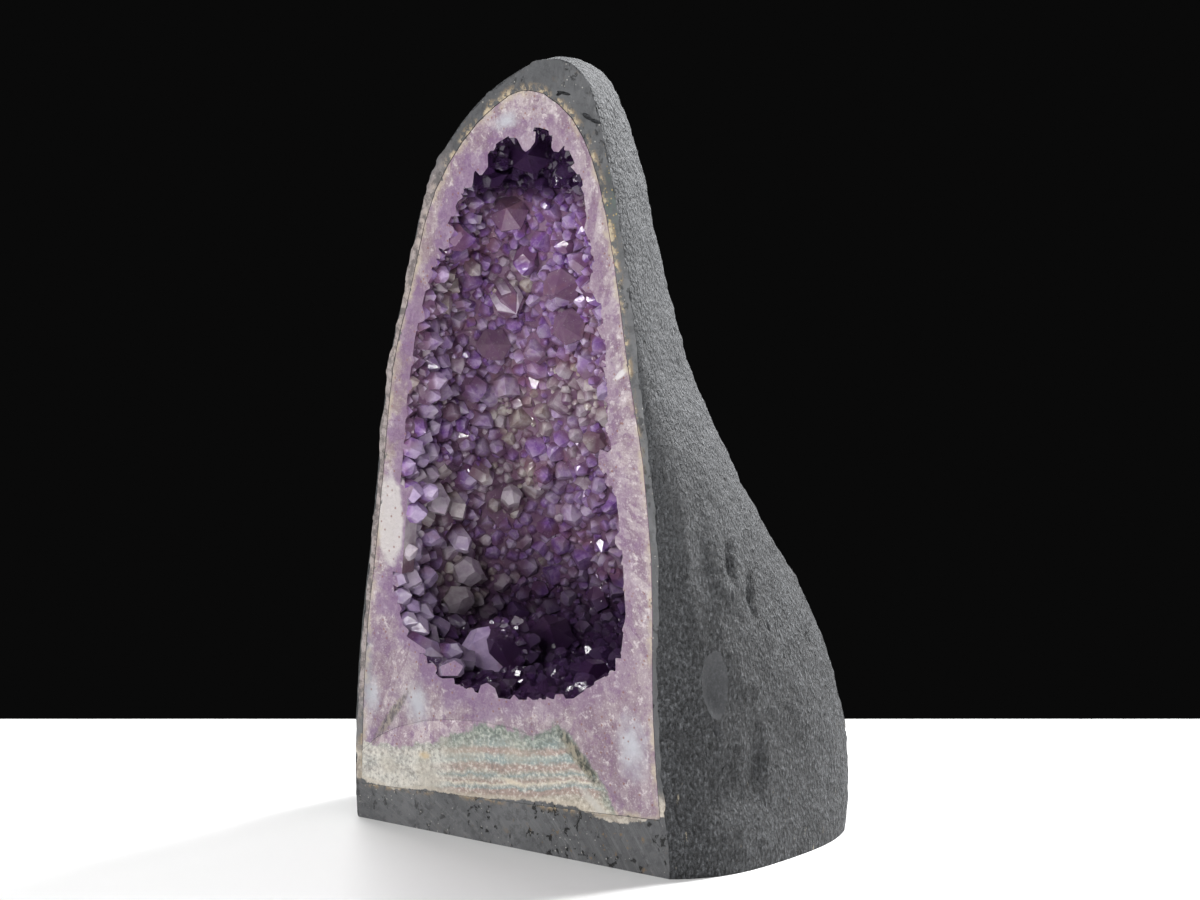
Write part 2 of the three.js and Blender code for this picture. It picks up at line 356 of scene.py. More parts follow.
class Finish:
    """A material. node() adds any node from its type, its settings and its inputs."""

    def __init__(self, name):
        self.material = bpy.data.materials.new(name)
        self.material.use_nodes = True
        self.tree = self.material.node_tree
        self.tree.nodes.clear()
        self.place = self.node("TexCoord", out="Object")
        self.x, _, self.z = (self.node("SeparateXYZ", {}, {0: self.place}, out=i) for i in range(3))

    def node(self, kind, settings={}, inputs={}, out=0):
        """Adds a node and gives one output. "stops" fills a colour ramp with places and colours."""
        node = self.tree.nodes.new("ShaderNode" + kind)
        for name, value in settings.items():
            if name == "stops":
                for place, colour in value:
                    stop = node.color_ramp.elements.new(place)
                    stop.color = (*colour, 1)
                node.color_ramp.elements.remove(node.color_ramp.elements[0])
                node.color_ramp.elements.remove(node.color_ramp.elements[-1])
            else:
                setattr(node, name, value)
        for name, value in inputs.items():
            if isinstance(value, Reading):
                self.tree.links.new(value.socket, node.inputs[name])
            else:
                node.inputs[name].default_value = value
        return Reading(self, node.outputs[out])

    def attribute(self, name):
        return self.node("Attribute", {"attribute_name": name}, out="Fac")

    def moved(self, scale=(1, 1, 1), turn=(0, 0, 0), shift=(0, 0, 0), place=None):
        """The place scaled, turned and then shifted, to draw a pattern out, lean it or vary it."""
        inputs = {"Vector": place or self.place, "Location": shift, "Rotation": turn, "Scale": scale}
        return self.node("Mapping", {}, inputs)

    def noise(self, size, detail=3, rough=0.55, place=None):
        """Cloudy patches of about a size in metres, 0 to 1."""
        inputs = {"Vector": place or self.place, "Scale": 1 / size, "Detail": detail}
        return self.node("TexNoise", {}, inputs | {"Roughness": rough})

    def cells(self, size, place=None, out="Distance"):
        """Cells of about a size in metres: how far from the middle of each, or its own colour."""
        return self.node("TexVoronoi", {}, {"Vector": place or self.place, "Scale": 1 / size}, out)

    def mix(self, share, first, second, blend="MIX"):
        first, second = ([*c, 1] if isinstance(c, tuple) else c for c in (first, second))
        settings = {"data_type": "RGBA", "blend_type": blend}
        return self.node("Mix", settings, {0: share, 6: first, 7: second}, out=2)

    def spot(self, x, z, reach, softness=0.5, ragged=0.0, lean=0.0):
        """1 around a place on the saw cut, 0 beyond its reach across and up; lean turns it."""
        centre = Vector((x, 0, z))
        stretch = Matrix.Diagonal((1 / reach[0], 0.001, 1 / reach[1]))
        shift = -(stretch @ Matrix.Rotation(lean, 3, "Y") @ centre)
        turned = self.moved((1, 1, 1), turn=(0, lean, 0))
        span = self.moved(tuple(stretch[i][i] for i in range(3)), shift=tuple(shift), place=turned)
        span = self.node("VectorMath", {"operation": "LENGTH"}, {0: span}, "Value")
        if ragged:
            span = span + (self.noise(min(reach) * 0.5) - 0.5) * ragged
        return span.over(1, 1 - softness)

    def bump(self, height, depth, under=None):
        """Relief of a depth in metres, on top of what is under it."""
        inputs = {"Height": height, "Distance": depth, "Strength": 1.0}
        if under:
            inputs["Normal"] = under
        return self.node("Bump", {}, inputs)

    def surface(self, **inputs):
        """The finish itself. Names of inputs are written with _ for a space."""
        inputs = {name.replace("_", " "): value for name, value in inputs.items()}
        shader = self.node("BsdfPrincipled", {}, inputs)
        self.output = self.tree.nodes.new("ShaderNodeOutputMaterial")
        self.tree.links.new(shader.socket, self.output.inputs["Surface"])
        return self.material


def measure(piece, name, reading):
    """Stores a distance at each corner point on the saw cut, to be read by the finish."""
    if name in piece.data.attributes:
        piece.data.attributes.remove(piece.data.attributes[name])
    values = [reading(v.co) if abs(v.co.y - CUT) < ON_PLANE else FAR for v in piece.data.vertices]
    piece.data.attributes.new(name, "FLOAT", "POINT").data.foreach_set("value", values)


quartz_side, agate_side = surface_of("amethyst_druse"), surface_of("banded_agate")
measure(rind, "seam", lambda at: min(quartz_side.find_nearest(at)[3], agate_side.find_nearest(at)[3]))


def weathered_basalt():
    """The skin: blue-grey grains, painted highlight on top and painted shade in the gaps; fresher where a
    flake has come away.
    """
    rock = Finish("weathered_basalt")
    fresh = rock.attribute("fresh")
    along = rock.moved((1, 1, 0.6), FLOW)
    crust = rock.noise(0.0015, 4, 0.6, along)
    knobs = rock.cells(0.0015, place=along)
    ridges = rock.noise(0.006, 3, 0.6, rock.moved((1, 1, 0.3), FLOW))
    grit = rock.noise(0.0009, 3, 0.65)
    cloud = rock.noise(0.05, 3)
    shade = rock.mix(cloud.over(0.3, 0.7), (0.048, 0.0505, 0.0545), (0.076, 0.080, 0.086))
    # Painted highlight on the raised grain, and painted shade in the hollows between the grains, the
    # ridges and the knobs.
    shade = rock.mix(crust.over(0.54, 0.64) * 0.65, shade, (0.20, 0.207, 0.22))
    shade = rock.mix(crust.over(0.49, 0.41) * 0.95, shade, (0.010, 0.0105, 0.012))
    shade = rock.mix(ridges.over(0.46, 0.34) * 0.5, shade, (0.02, 0.021, 0.023))
    shade = rock.mix(knobs.over(0.4, 0.7) * 0.65, shade, (0.018, 0.0185, 0.02))
    # Painted light: the skin is painted lighter higher up, where light from above falls on it more fully.
    shade = rock.mix(rock.z.over(0.08, 0.26) * 0.35, shade, (0.15, 0.155, 0.166))
    shade = rock.mix(grit.over(0.52, 0.72) * 0.35, shade, (0.20, 0.206, 0.22))
    crack = rock.noise(0.004, 4, 0.7, rock.moved((1, 1, 0.25))).over(0.66, 0.7)
    shade = rock.mix(crack * rock.z.over(0.075, 0.02), shade, (0.42, 0.37, 0.28))
    bare = rock.mix(grit.over(0.4, 0.7), (0.045, 0.046, 0.05), (0.07, 0.072, 0.078))
    shade = rock.mix(fresh * 0.8, shade, bare)
    relief = rock.bump(ridges * (1 - fresh * 0.9), 0.009)
    relief = rock.bump(crust * (1 - fresh * 0.9), 0.004, relief)
    relief = rock.bump((1 - knobs) * (1 - fresh * 0.95), 0.0012, relief)
    relief = rock.bump(grit * (1 - fresh * 0.7), 0.0006, relief)
    return rock.surface(Base_Color=shade, Roughness=0.62 + grit * 0.25, Normal=relief)


FLOOR_EDGE = [  # on the cut, how high the rock stands under the agate: x, z
    (-0.11, 0.0215),
    (-0.08, 0.018),
    (-0.06, 0.0215),
    (-0.02, 0.0225),
    (0.0, 0.025),
    (0.022, 0.027),
    (0.045, 0.0275),
    (0.06, 0.024),
    (0.072, 0.0225),
    (0.09, 0.027),
    (0.11, 0.034),
]


def height_over(finish, edge):
    """How far a place on the cut is above an edge that runs from the left to the right."""
    low, span, top = -0.12, 0.24, 0.1  # the edges lie within this width and under this height
    stops = [((x - low) / span, (z / top,) * 3) for x, z in edge]
    level = finish.node("ValToRGB", {"stops": stops}, {"Fac": (finish.x - low) / span})
    return finish.z - level * top


def rock_shade(rock):
    """Basalt where it is sawn: its colours, its pits and its fine roughness."""
    fleck = rock.noise(0.0012, 3, 0.65)
    cloud = rock.noise(0.03, 3)
    shade = rock.mix(cloud.over(0.3, 0.7), (0.095, 0.097, 0.102), (0.145, 0.147, 0.153))
    low_right = rock.x.over(-0.02, 0.09) * rock.z.over(0.2, 0.1)
    shade = rock.mix(low_right * 0.6, shade, (0.055, 0.056, 0.060))
    shade = rock.mix(fleck.over(0.55, 0.8) * 0.45, shade, (0.20, 0.20, 0.205))
    shade = rock.mix(rock.z.over(0.3, 0.37) * 0.5, shade, (0.062, 0.064, 0.069))
    mottle = rock.noise(0.0045, 4, 0.7)
    shade = rock.mix(mottle.over(0.52, 0.36) * 0.5, shade, (0.045, 0.046, 0.049))
    # The saw blade left faint arcs, all about one far point.
    reach = rock.moved(shift=(0.16, 0.1, 0.16))
    reach = rock.node("VectorMath", {"operation": "LENGTH"}, {0: reach}, "Value")
    arcs = rock.noise(0.3, 5, 0.75, rock.node("CombineXYZ", {}, {0: reach * 80}))
    arcs = arcs.over(0.47, 0.62) * rock.z.over(0.09, 0.04) * mottle.over(0.35, 0.55)
    shade = rock.mix(arcs * 0.45, shade, (0.20, 0.20, 0.205))
    grouped = rock.noise(0.018, 2).over(0.42, 0.56)
    crowded = rock.x.over(-0.04, 0.06) * rock.z.over(0.1, 0.05) + 0.25
    pits = rock.noise(0.0036, 3, 0.6, rock.moved((1, 1, 0.8), (0, 0.5, 0))).over(0.60, 0.63)
    pits = pits * (grouped * crowded.over(0.1, 0.5)).over(0.1, 0.5)
    shade = rock.mix(pits, shade, (0.010, 0.010, 0.010))
    brown = rock.noise(0.005, 4, 0.7, rock.moved(shift=(3, 0, 0))).over(0.6, 0.68) * crowded
    shade = rock.mix(brown * 0.7, shade, (0.17, 0.115, 0.065))
    glint = rock.cells(0.0032, place=rock.moved(shift=(7, 0, 0))).over(0.14, 0.08) * grouped
    return rock.mix(glint * 0.7, shade, (0.55, 0.53, 0.48)), pits, fleck + arcs


def sawn_basalt():
    """The cut and the foot: ground rock, with what has grown or seeped into its inner edge."""
    rock = Finish("sawn_basalt")
    shade, pits, rough = rock_shade(rock)
    mottle = rock.noise(0.0035, 4, 0.7)
    # Agate fills the low places in the rock's top edge.
    over_edge = height_over(rock, FLOOR_EDGE) + (mottle - 0.5) * 0.005
    filled = over_edge.over(0, 0.001) * rock.attribute("seam").over(0.009, 0.007)
    sandy = rock.mix(mottle.over(0.4, 0.6), (0.30, 0.26, 0.22), (0.54, 0.49, 0.42))
    shade = rock.mix(filled * rock.z.over(0.045, 0.035), shade, sandy)
    # Cream quartz and ochre fray into the rock along the seam.
    fray = rock.attribute("seam") + (mottle - 0.5) * 0.006
    green = rock.spot(0.068, 0.328, (0.009, 0.03), 0.9, 0.9)
    shade = rock.mix(green * mottle.over(0.4, 0.6) * 0.6, shade, (0.085, 0.125, 0.105))
    patchy = rock.noise(0.011, 3, 0.6, rock.moved(shift=(2, 0, 0))).over(0.42, 0.6)
    patchy = patchy * (rock.z.over(0.17, 0.25) + rock.x.over(0.085, 0.05)).over(0.1, 1)
    into_rock = fray - rock.z.over(0.2, 0.3) * 0.002  # the seam is wider high up
    ochre = into_rock.over(0.0034, 0.0014) * patchy * mottle.over(0.42, 0.56)
    shade = rock.mix(ochre, shade, (0.24, 0.18, 0.115))
    cream = into_rock.over(0.0016, 0.0004) * patchy * mottle.over(0.46, 0.58)
    shade = rock.mix(cream, shade, (0.48, 0.40, 0.28))
    # The thin left edge is more crust than rock.
    left = rock.x.over(-0.03, -0.06) * rock.z.over(0.04, 0.08) * fray.over(0.009, 0.004)
    crusty = rock.mix(mottle.over(0.4, 0.6), (0.16, 0.135, 0.13), (0.40, 0.34, 0.33))
    shade = rock.mix(left * 0.85, shade, crusty)
    gold = rock.cells(0.0022).over(0.24, 0.14) * rock.spot(0.068, 0.32, (0.01, 0.05), 0.6, 0.9)
    shade = rock.mix(gold * 0.8, shade, (0.50, 0.36, 0.13))
    relief = rock.bump(1 - pits, 0.0014)
    relief = rock.bump(rough, 0.0002, relief)
    return rock.surface(Base_Color=shade, Roughness=0.5, Normal=relief)


rind.data.materials.clear()
rind.data.materials.append(weathered_basalt())
rind.data.materials.append(sawn_basalt())
for face in rind.data.polygons:
    face.material_index = 1 if on_cut(face) or on_foot(face) else 0
pick(rind)
bpy.ops.object.shade_smooth_by_angle(angle=math.radians(40))
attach(rind, "root")
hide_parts("basalt_rind")

# --- the banded agate -------------------------------------------------------------------------
# A lens of agate and green celadonite, laid down in flat bands on the floor of the bubble
# before the quartz grew over it. The saw has cut through it, and it is honed flush with the rock.

TOP_EDGE = [  # on the cut, how high the agate reaches: x, z
    (-0.11, 0.041),
    (-0.09, 0.042),
    (-0.058, 0.045),
    (-0.040, 0.0535),
    (-0.019, 0.0610),
    (-0.004, 0.0625),
    (0.0135, 0.0600),
    (0.021, 0.0620),
    (0.031, 0.0680),
    (0.0395, 0.0655),
    (0.054, 0.052),
    (0.065, 0.038),
    (0.072, 0.024),
    (0.085, 0.015),
]
BAND_FLOOR, BAND_STACK = 0.0235, 0.04  # the lowest band at mid-width, and all the bands together
BAND_RISE = 0.14  # how much the bands climb towards the right
BANDS = [  # from the rock floor up, by share of the stack
    (0.01, (0.50, 0.44, 0.36)),
    (0.06, (0.43, 0.38, 0.32)),
    (0.10, (0.38, 0.285, 0.25)),
    (0.155, (0.39, 0.295, 0.26)),
    (0.19, (0.27, 0.325, 0.32)),
    (0.23, (0.41, 0.40, 0.36)),
    (0.255, (0.62, 0.56, 0.46)),
    (0.285, (0.37, 0.28, 0.245)),
    (0.32, (0.43, 0.39, 0.34)),
    (0.36, (0.27, 0.325, 0.32)),
    (0.40, (0.42, 0.39, 0.34)),
    (0.44, (0.37, 0.275, 0.245)),
    (0.49, (0.38, 0.29, 0.255)),
    (0.54, (0.27, 0.335, 0.33)),
    (0.62, (0.36, 0.395, 0.375)),
    (0.66, (0.39, 0.29, 0.255)),
    (0.70, (0.38, 0.28, 0.25)),
    (0.75, (0.27, 0.33, 0.32)),
    (0.88, (0.26, 0.30, 0.28)),
    (0.98, (0.20, 0.23, 0.20)),
]

STRIP = 0.005  # how closely distances are held on the cut
# The parts of the cut that are scored: the width and height of the quartz, then of the agate.
LEFT_END, RIGHT_END, LOWEST, HIGHEST = -0.11, 0.11, 0.015, 0.395
AGATE_END, AGATE_TOP = 0.1, 0.08

agate = copy_of("banded_agate", "agate_lens")
select_faces(agate, on_cut)
bpy.ops.mesh.hide(unselected=True)


def score(low, high, across):
    """Cuts what is showing into strips, so that a distance can be held at each corner point."""
    for k in range(round((high - low) / STRIP) + 1):
        bpy.ops.mesh.select_all(action="SELECT")
        place = [v * (low + STRIP * k) for v in across]
        bpy.ops.mesh.bisect(plane_co=place, plane_no=across)


score(LEFT_END, AGATE_END, (1, 0, 0))
score(LOWEST, AGATE_TOP, (0, 0, 1))
bpy.ops.mesh.reveal()
bpy.ops.object.mode_set(mode="OBJECT")
TOUCH = 0.0002  # the agate swells a little, to meet the quartz that grew on it
for vertex in agate.data.vertices:
    at_cut = abs(vertex.co.y - CUT) < ON_PLANE
    vertex.co += vertex.normal * TOUCH
    if at_cut:
        vertex.co.y = CUT
rock_side = surface_of("basalt_rind")
measure(agate, "rim", lambda at: rock_side.find_nearest(at)[3])
measure(agate, "inner", lambda at: FAR)


def outside_lens(finish):
    """How far a place on the cut is above the agate, in metres; less than 0 inside it."""
    folds = (finish.noise(0.007, 4, 0.7) - 0.5) * 0.016
    return height_over(finish, TOP_EDGE) + folds


def banded(band):
    """The colours of the lens: sandy bands of pink, green and cream, and a paler, glassier end."""
    wave = band.noise(0.03, 3, 0.5, band.moved((1, 1, 1.6))) - 0.5
    ripple = band.noise(0.006, 3, 0.65) - 0.5
    level = band.z - band.x * BAND_RISE - BAND_FLOOR + wave * 0.008 + ripple * 0.004
    shade = band.node("ValToRGB", {"stops": BANDS}, {"Fac": level / BAND_STACK})
    ends = band.x.over(-0.03, -0.056) * 0.9
    cloudy = band.noise(0.011, 4, 0.62)
    glassy = band.mix(cloudy.over(0.36, 0.62), (0.37, 0.355, 0.33), (0.66, 0.63, 0.57))
    shade = band.mix(ends, shade, glassy)
    sandy = band.noise(0.002, 4, 0.75)
    shade = band.mix(sandy.over(0.52, 0.62) * 0.65, shade, (0.78, 0.75, 0.68))
    shade = band.mix(sandy.over(0.48, 0.38) * 0.6, shade, (0.17, 0.16, 0.14))
    stained = band.noise(0.02, 3, 0.6, band.moved(shift=(4, 0, 0))).over(0.48, 0.64)
    shade = band.mix(stained * 0.4, shade, (0.47, 0.42, 0.345))
    top = outside_lens(band)
    mossy = band.mix(sandy.over(0.4, 0.6), (0.12, 0.15, 0.13), (0.38, 0.41, 0.36))
    moss = top.over(-0.012, -0.002) * band.x.over(-0.07, -0.03) * cloudy.over(0.35, 0.5)
    shade = band.mix(moss * 0.75, shade, mossy)
    cream = band.spot(0.002, 0.0345, (0.012, 0.0022), 0.8, 0.8, math.radians(-7))
    shade = band.mix(cream * 0.7, shade, (0.74, 0.65, 0.51))
    ochre = band.spot(-0.058, 0.040, (0.006, 0.003), 0.9, 0.8)
    return band.mix(ochre * 0.75, shade, (0.60, 0.46, 0.27))


# Milky patches in the sawn quartz: place on the cut, reach across and up, lean.
MILKY = [
    (0.081, 0.063, (0.013, 0.023), 0.1),
    (-0.063, 0.067, (0.011, 0.017), 0.0),
    (0.0, 0.372, (0.012, 0.006), 0.3),
    (-0.095, 0.068, (0.008, 0.014), 0.0),
]


def sawn_crystal(stone):
    """The colours of the sawn quartz: cream by the rock, violet by the hollow, columns between."""
    rim, inner = stone.attribute("rim"), stone.attribute("inner")
    # Crystals lie side by side from the rock to the hollow, so they are drawn out along that way.
    round_hollow = (stone.z - 0.2).angle_over(stone.x) * 0.13
    across = stone.node("CombineXYZ", {}, {0: rim * 0.75, 2: round_hollow})
    columns = stone.noise(0.0034, 4, 0.65, across)
    crystal = stone.cells(0.0058, across, "Color")
    veil = stone.noise(0.013, 4, 0.62)
    mottle = stone.noise(0.0036, 5, 0.7)
    shade = stone.mix(veil.over(0.38, 0.62), (0.43, 0.34, 0.365), (0.27, 0.185, 0.235))
    shade = stone.mix(crystal.over(0.45, 0.30) * 0.35, shade, (0.23, 0.13, 0.22))
    shade = stone.mix(crystal.over(0.56, 0.70) * 0.35, shade, (0.66, 0.58, 0.60))
    shade = stone.mix(columns.over(0.5, 0.66) * 0.4, shade, (0.66, 0.58, 0.59))
    shade = stone.mix(stone.z.over(0.15, 0.1) * stone.x.over(0.02, 0.06) * 0.4, shade, (0.25, 0.17, 0.22))
    shade = stone.mix(mottle.over(0.48, 0.36) * 0.6, shade, (0.22, 0.11, 0.22))
    shade = stone.mix(mottle.over(0.55, 0.66) * 0.7, shade, (0.78, 0.71, 0.72))
    fine = stone.noise(0.0011, 3, 0.7)
    shade = stone.mix(fine.over(0.56, 0.68) * 0.4, shade, (0.88, 0.82, 0.83))
    shade = stone.mix(fine.over(0.44, 0.34) * 0.4, shade, (0.20, 0.10, 0.19))
    beige = stone.x.over(-0.03, -0.07) * stone.z.over(0.13, 0.19)
    shade = stone.mix(beige * veil.over(0.35, 0.55) * 0.55, shade, (0.36, 0.28, 0.25))
    violet = (inner + (veil - 0.5) * 0.02 + (mottle - 0.5) * 0.01).over(0.0075, 0.001)
    violet = violet * (0.3 + stone.x.over(0.04, -0.04) * 0.35)
    shade = stone.mix(violet, shade, (0.21, 0.105, 0.25))
    deep = stone.noise(0.009, 4, 0.7, stone.moved(shift=(6, 0, 0))).over(0.53, 0.62)
    shade = stone.mix(deep * stone.x.over(0.02, -0.03) * 0.5, shade, (0.20, 0.10, 0.22))
    for x, z, reach, lean in MILKY:
        milk = stone.spot(x, z, reach, 0.95, 0.9, lean)
        shade = stone.mix(milk * 0.95, shade, (0.55, 0.55, 0.60))
    grey = stone.spot(-0.1, 0.085, (0.008, 0.035), 0.8, 0.8)
    shade = stone.mix(grey * 0.6, shade, (0.30, 0.31, 0.34))
    blade = stone.spot(-0.081, 0.163, (0.0105, 0.028), 0.3, 0.5)
    shade = stone.mix(blade * 0.85, shade, (0.68, 0.635, 0.62))
    chip = stone.spot(0.0735, 0.249, (0.0065, 0.002), 0.5, 0.5, math.radians(38))
    shade = stone.mix(chip * 0.8, shade, (0.80, 0.77, 0.77))
    fray = rim + (stone.noise(0.005, 4, 0.7) - 0.5) * 0.01
    patchy = stone.noise(0.014, 3, 0.6, stone.moved(shift=(2, 0, 0))).over(0.4, 0.62)
    shade = stone.mix(fray.over(0.0042, 0.0008) * patchy * 0.75, shade, (0.56, 0.48, 0.36))
    rusty = stone.cells(0.0034).over(0.24, 0.12) * stone.noise(0.012, 2).over(0.46, 0.54)
    shade = stone.mix(rusty * 0.75, shade, (0.25, 0.10, 0.07))
    return stone.mix(fray.over(0.0002, -0.0008), shade, (0.11, 0.108, 0.108))


def sawn_colours(finish):
    """Agate under its top edge, quartz over it, and rock where it stands up through the floor."""
    ragged = outside_lens(finish)
    shade = finish.mix(ragged.over(-0.0012, 0.0012), banded(finish), sawn_crystal(finish))
    edge = ragged.over(-0.003, 0) * ragged.over(0.002, 0) * finish.x.over(-0.07, -0.03)
    shade = finish.mix(edge * 0.3, shade, (0.16, 0.20, 0.17))
    # Dark green seams run down the sides of the lens, and a pale one under the right of it.
    right = finish.spot(0.046, 0.054, (0.0048, 0.025), 0.6, 0.9, math.radians(45))
    left = finish.spot(-0.082, 0.0575, (0.0034, 0.026), 0.6, 0.9, math.radians(-40))
    grains = finish.noise(0.0026, 4, 0.7, finish.moved((1, 1, 0.5), (0, math.radians(45), 0)))
    dark = finish.mix(grains.over(0.42, 0.6), (0.022, 0.028, 0.020), (0.34, 0.30, 0.22))
    shade = finish.mix(right * 0.9, shade, dark)
    shade = finish.mix(left * 0.7, shade, dark)
    pale = finish.spot(0.057, 0.031, (0.0036, 0.02), 0.8, 1.0, math.radians(52))
    shade = finish.mix(pale * 0.7, shade, (0.56, 0.54, 0.50))
    over_floor = height_over(finish, FLOOR_EDGE) + (finish.noise(0.0035, 4, 0.7) - 0.5) * 0.005
    shade = finish.mix(over_floor.over(0.003, 0.001) * 0.5, shade, (0.52, 0.45, 0.36))
    return finish.mix(over_floor.over(0.0006, -0.0004), shade, rock_shade(finish)[0])


def honed_agate():
    """The cut face of the lens, honed to a dull shine."""
    stone = Finish("honed_agate")
    grain = stone.noise(0.0013, 4, 0.7)
    relief = stone.bump(grain, 0.0003)
    return stone.surface(Base_Color=sawn_colours(stone), Roughness=0.42 + grain * 0.25, Normal=relief)


agate.data.materials.append(honed_agate())
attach(agate, "root")
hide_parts("banded_agate")

# --- the quartz wall and its amethyst points --------------------------------------------------
# Quartz grew inwards from the rind: milky and massive at first, then in six-sided amethyst
# points that fill the hollow. All of it is one growth, so wall and points are united as one solid.

QUARTZ_SLOPE = math.radians(51.8)  # between a tip face and the crystal's axis, square to each
ROOT = 1.1  # how far a point is rooted in its wall, in crystal radii
POINT_FORMS = [  # how far each of the six tip faces stands back, in crystal radii
    (0, 0, 0, 0, 0, 0),
    (0, 0.3, 0, 0.34, 0, 0.26),
    (0, 0.55, 0.05, 0.5, 0, 0.6),
    (0.1, 0.2, 0, 0.45, 0.35, 0),
    (0, 0.1, 0.5, 0.3, 0, 0.15),
    (0, 0.5, 0.7, 0.75, 0.7, 0.5),
]
BROAD_FACED = 5  # the form with one great tip face


def point_form(stand_backs):
    """One crystal of radius 1, with its tip near z = 1 and its shaft drawn out far below."""
    bpy.ops.mesh.primitive_cylinder_add(vertices=6, radius=1, depth=8)
    form = bpy.context.object
    bpy.ops.object.mode_set(mode="EDIT")
    for k, stand_back in enumerate(stand_backs):
        turn = math.radians(30 + 60 * k)
        bpy.ops.mesh.select_all(action="SELECT")
        bpy.ops.mesh.bisect(
            plane_co=(0, 0, 1 + stand_back),
            plane_no=(
                math.cos(turn) * math.sin(QUARTZ_SLOPE),
                math.sin(turn) * math.sin(QUARTZ_SLOPE),
                math.cos(QUARTZ_SLOPE),
            ),
            clear_outer=True,
            use_fill=True,
        )
    bpy.ops.object.mode_set(mode="OBJECT")
    mesh = form.data
    bpy.data.objects.remove(form)
    return mesh


forms = [point_form(stand_backs) for stand_backs in POINT_FORMS]

quartz = copy_of("amethyst_druse", "quartz_wall_and_points")
chance = random.Random(11)


CLEAR_OF_SIDES = 0.004  # no point grows nearer than this to the rock or the agate


def faces_hollow(face):
    if not faces_midline(face):
        return False
    sides = (rock_side, agate_side)
    return all(side.find_nearest(face.center)[3] > CLEAR_OF_SIDES for side in sides)


# Candidate spots all over the hollow, by area.
quartz.data.calc_loop_triangles()
open_faces = {f.index for f in quartz.data.polygons if faces_hollow(f)}
corners = [
    [quartz.data.vertices[i].co.copy() for i in t.vertices]
    for t in quartz.data.loop_triangles
    if t.polygon_index in open_faces
]
areas = np.cumsum([((b - a).cross(c - a)).length / 2 for a, b, c in corners])

select_faces(quartz, on_cut)
bpy.ops.mesh.hide(unselected=True)
score(LEFT_END, RIGHT_END, (1, 0, 0))
score(LOWEST, HIGHEST, (0, 0, 1))
bpy.ops.mesh.reveal()
bpy.ops.object.mode_set(mode="OBJECT")

points = bpy.data.collections.new("points")
middles = np.zeros((0, 3))
radii = np.zeros(0)


def keep_clear(at, radius):
    """Notes a place that is taken, so that no other point grows through it."""
    global middles, radii
    middles = np.vstack([middles, np.array(at)])
    radii = np.append(radii, radius)


# Where smoky and clear crystals grew among the violet ones: a place and how far round it.
PALE = [
    (Vector((-0.056, CUT + 0.075, 0.213)), 0.018),
    (Vector((-0.012, CUT + 0.07, 0.226)), 0.02),
    (Vector((-0.084, CUT + 0.034, 0.172)), 0.022),
    (Vector((-0.082, CUT + 0.004, 0.145)), 0.012),
    (Vector((-0.062, CUT + 0.075, 0.17)), 0.02),
    (Vector((-0.084, CUT + 0.064, 0.12)), 0.022),
    (Vector((-0.035, CUT + 0.045, 0.29)), 0.012),
    (Vector((-0.07, CUT + 0.02, 0.285)), 0.014),
    (Vector((0.03, CUT + 0.06, 0.275)), 0.012),
    (Vector((0.04, CUT + 0.09, 0.1)), 0.014),
]


def plant(at, way, radius, length, tint, form, lit=0, facing=None):
    """A crystal at a spot: radius to a corner, and how far its tip is above the wall, in radii.

    tint is how deep its violet is, lit how far it is spared the painted shade at the top and foot
    of the hollow, and facing the way that its first tip face turns.
    """
    mesh = forms[form].copy()
    rise = [v.co.z + length - 1 for v in mesh.vertices]
    for vertex, above in zip(mesh.vertices, rise):
        vertex.co.z = max(above, -ROOT)
    aim = way.normalized().to_track_quat("Z", "Y").to_matrix()
    spin = chance.uniform(0, 2 * math.pi)
    if facing:
        across = aim.inverted() @ facing
        spin = math.atan2(across.y, across.x) - math.radians(30)
    turn = aim.to_4x4() @ Matrix.Rotation(spin, 4, "Z")
    mesh.transform(Matrix.Translation(at) @ turn @ Matrix.Scale(radius, 4))
    pale = max((at - place).length < reach for place, reach in PALE) * chance.uniform(0.45, 1)
    if chance.random() < 0.1:
        pale = max(pale, chance.uniform(0.3, 0.9))
    for name, value in (("tint", tint), ("pale", pale), ("lit", lit)):
        mesh.attributes.new(name, "FLOAT", "FACE").data.foreach_set("value", [value] * len(mesh.polygons))
    above = [max(rise[loop.vertex_index], -ROOT) for loop in mesh.loops]
    mesh.attributes.new("rise", "FLOAT", "CORNER").data.foreach_set("value", above)
    points.objects.link(bpy.data.objects.new("point", mesh))
    keep_clear(at, radius)


